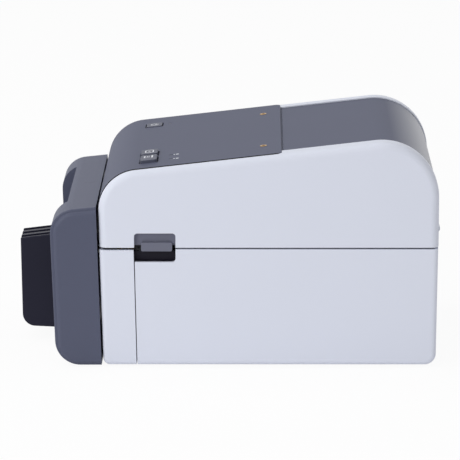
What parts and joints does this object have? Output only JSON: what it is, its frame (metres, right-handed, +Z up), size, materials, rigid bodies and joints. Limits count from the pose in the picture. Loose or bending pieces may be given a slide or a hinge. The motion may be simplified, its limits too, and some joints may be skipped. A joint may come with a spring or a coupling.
{
  "type": "label printer",
  "caption": "Desktop label printer with a rear-hinged cover, side latch windows, three top buttons, inner roll holders and printing unit, and a label cutter on its front.",
  "frame": {"origin": "on the table, under the middle of the machine's bounding box", "axes": "+Z up, -Y towards the front where labels come out, +X towards the right of someone facing the front"},
  "size_m": [0.18, 0.29, 0.1544],
  "materials": {
    "white_plastic": "fine matt texture",
    "slate_plastic": "fine matt texture",
    "black_plastic": "satin",
    "grey_plastic": "satin",
    "gear_plastic": "moulded",
    "green_board": "lacquered",
    "clear_plastic": "frosted",
    "rubber": "moulded",
    "steel": "plain",
    "motor_metal": "satin",
    "aluminium": "extruded",
    "ceramic": "glazed",
    "brass": "turned"
  },
  "bodies": {
    "base": {"front_case": "white_plastic", "lower_case": "white_plastic", "chassis_plate": "steel", "rubber_feet": "rubber", "base_screws": "steel", "finger_cups": "black_plastic", "label_bay": "black_plastic", "label_guide": "black_plastic", "unit_frame": "steel", "platen_bearings": "brass", "gear_pins": "steel", "feed_motor": "motor_metal", "guide_rods": "steel", "main_board": "green_board", "power_socket": "black_plastic", "data_sockets": "steel", "latch_springs": "steel", "hinge_pin": "steel", "unit_housing": "slate_plastic", "gear_housing": "black_plastic", "cutter_plate": "steel", "fixed_blade": "steel", "cutter_motor": "motor_metal"},
    "cover": {"top_cover": "white_plastic", "front_panel": "slate_plastic", "rear_strip": "slate_plastic", "cover_liner": "black_plastic", "light_pipes": "clear_plastic", "brass_inserts": "brass", "panel_board": "green_board", "panel_screws": "steel", "head_beam": "steel", "cover_pins": "steel", "head_springs": "steel"},
    "latch": {"latch_lever_right": "slate_plastic", "latch_lever_left": "slate_plastic", "latch_shaft": "steel"},
    "power_key": {"power_button": "slate_plastic"},
    "feed_key": {"feed_button": "slate_plastic"},
    "print_key": {"print_button": "slate_plastic"},
    "head": {"head_bracket": "steel", "heat_sink": "aluminium", "print_head": "ceramic"},
    "platen": {"platen_roller": "rubber", "platen_shaft": "steel", "platen_gear": "gear_plastic"},
    "feed_idler": {"idler_gear": "gear_plastic"},
    "feed_rotor": {"motor_rotor": "steel"},
    "holder_left": {"roll_holder_left": "black_plastic"},
    "holder_right": {"roll_holder_right": "black_plastic"},
    "hub_left": {"roll_hub_left": "grey_plastic"},
    "hub_right": {"roll_hub_right": "grey_plastic"},
    "holder_pinion": {"rack_pinion": "gear_plastic"},
    "sensor": {"label_sensor": "black_plastic"},
    "blade": {"moving_blade": "steel", "blade_carrier": "steel"},
    "cutter_shaft": {"cutter_shaft": "steel", "cutter_shaft_gears": "steel"},
    "cutter_idler": {"cutter_idler": "gear_plastic"},
    "cutter_rotor": {"cutter_rotor": "steel"}
  },
  "joints": [
    {"name": "cover_hinge", "type": "hinge", "parent": "base", "child": "cover", "pos_m": [0, 0.1417, 0.0826], "axis": [-1, 0, 0], "range_deg": [0, 85]},
    {"name": "latch_pivot", "type": "hinge", "parent": "base", "child": "latch", "pos_m": [0, -0.0462, 0.066], "axis": [1, 0, 0], "range_deg": [0, 13], "stiffness_Nm_per_rad": 0.6, "springref_deg": -11.46},
    {"name": "power_press", "type": "slide", "parent": "cover", "child": "power_key", "axis": [0, 0.1132, -0.9936], "range_m": [0, 0.0008], "stiffness_N_per_m": 300, "springref_m": -0.002},
    {"name": "feed_press", "type": "slide", "parent": "cover", "child": "feed_key", "axis": [0, 0.1132, -0.9936], "range_m": [0, 0.0008], "stiffness_N_per_m": 300, "springref_m": -0.002},
    {"name": "print_press", "type": "slide", "parent": "cover", "child": "print_key", "axis": [0, 0.1132, -0.9936], "range_m": [0, 0.0008], "stiffness_N_per_m": 300, "springref_m": -0.002},
    {"name": "head_tilt", "type": "hinge", "parent": "cover", "child": "head", "pos_m": [0, -0.0492, 0.0994], "axis": [-1, 0, 0], "range_deg": [0, 1], "stiffness_Nm_per_rad": 20, "springref_deg": -5.73},
    {"name": "platen_spin", "type": "hinge", "parent": "base", "child": "platen", "pos_m": [0, -0.0702, 0.075], "axis": [1, 0, 0], "continuous": true},
    {"name": "feed_idler_spin", "type": "hinge", "parent": "base", "child": "feed_idler", "pos_m": [0, -0.06088, 0.0494], "axis": [1, 0, 0], "continuous": true},
    {"name": "feed_motor_spin", "type": "hinge", "parent": "base", "child": "feed_rotor", "pos_m": [0, -0.04558, 0.0341], "axis": [1, 0, 0], "continuous": true},
    {"name": "holder_left_slide", "type": "slide", "parent": "base", "child": "holder_left", "axis": [1, 0, 0], "range_m": [0, 0.04]},
    {"name": "holder_right_slide", "type": "slide", "parent": "base", "child": "holder_right", "axis": [-1, 0, 0], "range_m": [0, 0.04]},
    {"name": "holder_pinion_spin", "type": "hinge", "parent": "base", "child": "holder_pinion", "pos_m": [0, 0.0458, 0], "axis": [0, 0, 1], "range_deg": [0, 286.58]},
    {"name": "hub_left_spin", "type": "hinge", "parent": "holder_left", "child": "hub_left", "pos_m": [0, 0.0458, 0.078], "axis": [1, 0, 0], "continuous": true},
    {"name": "hub_right_spin", "type": "hinge", "parent": "holder_right", "child": "hub_right", "pos_m": [0, 0.0458, 0.078], "axis": [1, 0, 0], "continuous": true},
    {"name": "sensor_slide", "type": "slide", "parent": "base", "child": "sensor", "axis": [1, 0, 0], "range_m": [-0.044, 0.044]},
    {"name": "blade_slide", "type": "slide", "parent": "base", "child": "blade", "axis": [0, 0, 1], "range_m": [0, 0.009]},
    {"name": "cutter_shaft_spin", "type": "hinge", "parent": "base", "child": "cutter_shaft", "pos_m": [0, -0.1082, 0.058], "axis": [1, 0, 0], "range_deg": [0, 86.04]},
    {"name": "cutter_idler_spin", "type": "hinge", "parent": "base", "child": "cutter_idler", "pos_m": [0, -0.12219, 0.03604], "axis": [1, 0, 0], "range_deg": [-63.12, 0]},
    {"name": "cutter_motor_spin", "type": "hinge", "parent": "base", "child": "cutter_rotor", "pos_m": [0, -0.1037, 0.026], "axis": [1, 0, 0], "range_deg": [0, 157.66]}
  ],
  "couplings": [
    {"joint": "feed_idler_spin", "follows": "platen_spin", "ratio": -0.7},
    {"joint": "feed_motor_spin", "follows": "platen_spin", "ratio": 2},
    {"joint": "holder_right_slide", "follows": "holder_left_slide", "ratio": 1},
    {"joint": "holder_pinion_spin", "follows": "holder_left_slide", "rad_per_m": 125},
    {"joint": "cutter_shaft_spin", "follows": "blade_slide", "rad_per_m": 166.67},
    {"joint": "cutter_idler_spin", "follows": "blade_slide", "rad_per_m": -122.22},
    {"joint": "cutter_motor_spin", "follows": "blade_slide", "rad_per_m": 305.56}
  ]
}
